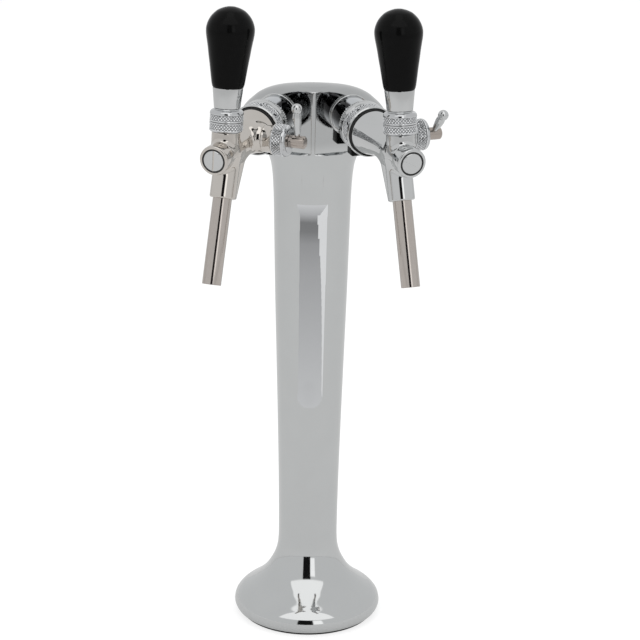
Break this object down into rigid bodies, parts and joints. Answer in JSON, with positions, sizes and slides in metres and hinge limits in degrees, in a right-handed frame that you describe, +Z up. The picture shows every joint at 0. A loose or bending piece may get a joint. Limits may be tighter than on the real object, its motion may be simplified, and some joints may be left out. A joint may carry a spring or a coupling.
{
  "type": "beer tap tower",
  "caption": "Hooded chrome column on a flared round foot, with angled compensator taps, black lever handles and flow-control levers.",
  "frame": {"origin": "centre of the underside of the base plate, on the bar top", "axes": "+Z up along the column, front of the tower towards -Y, +X to the right of someone facing the front"},
  "size_m": [0.1954, 0.2194, 0.5628],
  "materials": {
    "chrome": "polished bright chrome plate",
    "knurled_chrome": "diamond knurled chrome plate",
    "nickel": "polished warm nickel plate",
    "steel": "fine lengthwise brushed stainless steel",
    "brass": "machined",
    "black_plastic": "glossy black moulded plastic",
    "rubber": "moulded black rubber",
    "tubing": "translucent white drinks tubing",
    "foam": "closed-cell insulation foam"
  },
  "bodies": {
    "tower": {"column_body": "chrome", "base_plate": "steel", "base_gasket": "rubber", "base_screw_1": "steel", "base_screw_2": "steel", "base_screw_3": "steel", "left_beer_line": "tubing", "right_beer_line": "tubing", "insulation_core": "foam", "left_tap_flange": "chrome", "left_shank": "brass", "left_shank_sleeve": "chrome", "left_shank_nut": "brass", "left_lock_screw": "black_plastic", "left_coupling_nut": "chrome", "left_coupling_seal": "rubber", "left_body_gasket": "rubber", "left_tap_body": "nickel", "left_front_plug": "chrome", "left_plug_o_ring": "rubber", "left_spout_tube": "steel", "left_neck_collar": "knurled_chrome", "left_lever_packing": "rubber", "left_compensator_bonnet": "nickel", "left_compensator_collar": "knurled_chrome", "right_tap_flange": "chrome", "right_shank": "brass", "right_shank_sleeve": "chrome", "right_shank_nut": "brass", "right_lock_screw": "black_plastic", "right_coupling_nut": "chrome", "right_coupling_seal": "rubber", "right_body_gasket": "rubber", "right_tap_body": "chrome", "right_front_plug": "chrome", "right_plug_o_ring": "rubber", "right_spout_tube": "steel", "right_neck_collar": "knurled_chrome", "right_lever_packing": "rubber", "right_compensator_bonnet": "chrome", "right_compensator_collar": "knurled_chrome"},
    "left_lever": {"left_lever_stem": "steel", "left_lever_collar": "knurled_chrome", "left_lever_ferrule": "chrome", "left_handle": "black_plastic"},
    "left_valve": {"left_valve_piston": "steel", "left_piston_seal": "rubber"},
    "left_compensator": {"left_compensator_spindle": "nickel", "left_compensator_lever": "chrome"},
    "left_cone": {"left_compensator_cone": "black_plastic"},
    "right_lever": {"right_lever_stem": "steel", "right_lever_collar": "knurled_chrome", "right_lever_ferrule": "chrome", "right_handle": "black_plastic"},
    "right_valve": {"right_valve_piston": "steel", "right_piston_seal": "rubber"},
    "right_compensator": {"right_compensator_spindle": "nickel", "right_compensator_lever": "chrome"},
    "right_cone": {"right_compensator_cone": "black_plastic"}
  },
  "joints": [
    {"name": "left_lever_tilt", "type": "hinge", "parent": "tower", "child": "left_lever", "pos_m": [-0.0685, -0.12378, 0.45933], "axis": [0.9272, -0.3746, 0], "range_deg": [0, 25]},
    {"name": "left_valve_slide", "type": "slide", "parent": "tower", "child": "left_valve", "axis": [0.3735, 0.9243, 0.0785], "range_m": [0, 0.005]},
    {"name": "left_compensator_turn", "type": "hinge", "parent": "tower", "child": "left_compensator", "pos_m": [-0.05426, -0.08854, 0.45287], "axis": [0.9272, -0.3746, 0], "range_deg": [-60, 60]},
    {"name": "left_cone_slide", "type": "slide", "parent": "tower", "child": "left_cone", "axis": [0.3735, 0.9243, 0.0785], "range_m": [-0.002, 0.002]},
    {"name": "right_lever_tilt", "type": "hinge", "parent": "tower", "child": "right_lever", "pos_m": [0.0685, -0.12378, 0.45933], "axis": [0.9272, 0.3746, 0], "range_deg": [0, 25]},
    {"name": "right_valve_slide", "type": "slide", "parent": "tower", "child": "right_valve", "axis": [-0.3735, 0.9243, 0.0785], "range_m": [0, 0.005]},
    {"name": "right_compensator_turn", "type": "hinge", "parent": "tower", "child": "right_compensator", "pos_m": [0.05426, -0.08854, 0.45287], "axis": [0.9272, 0.3746, 0], "range_deg": [-100, 20]},
    {"name": "right_cone_slide", "type": "slide", "parent": "tower", "child": "right_cone", "axis": [-0.3735, 0.9243, 0.0785], "range_m": [-0.0033, 0.0008]}
  ],
  "couplings": [
    {"joint": "left_valve_slide", "follows": "left_lever_tilt", "m_per_rad": 0.0108},
    {"joint": "left_cone_slide", "follows": "left_compensator_turn", "m_per_rad": 0.0018194},
    {"joint": "right_valve_slide", "follows": "right_lever_tilt", "m_per_rad": 0.0108},
    {"joint": "right_cone_slide", "follows": "right_compensator_turn", "m_per_rad": 0.0018194}
  ]
}
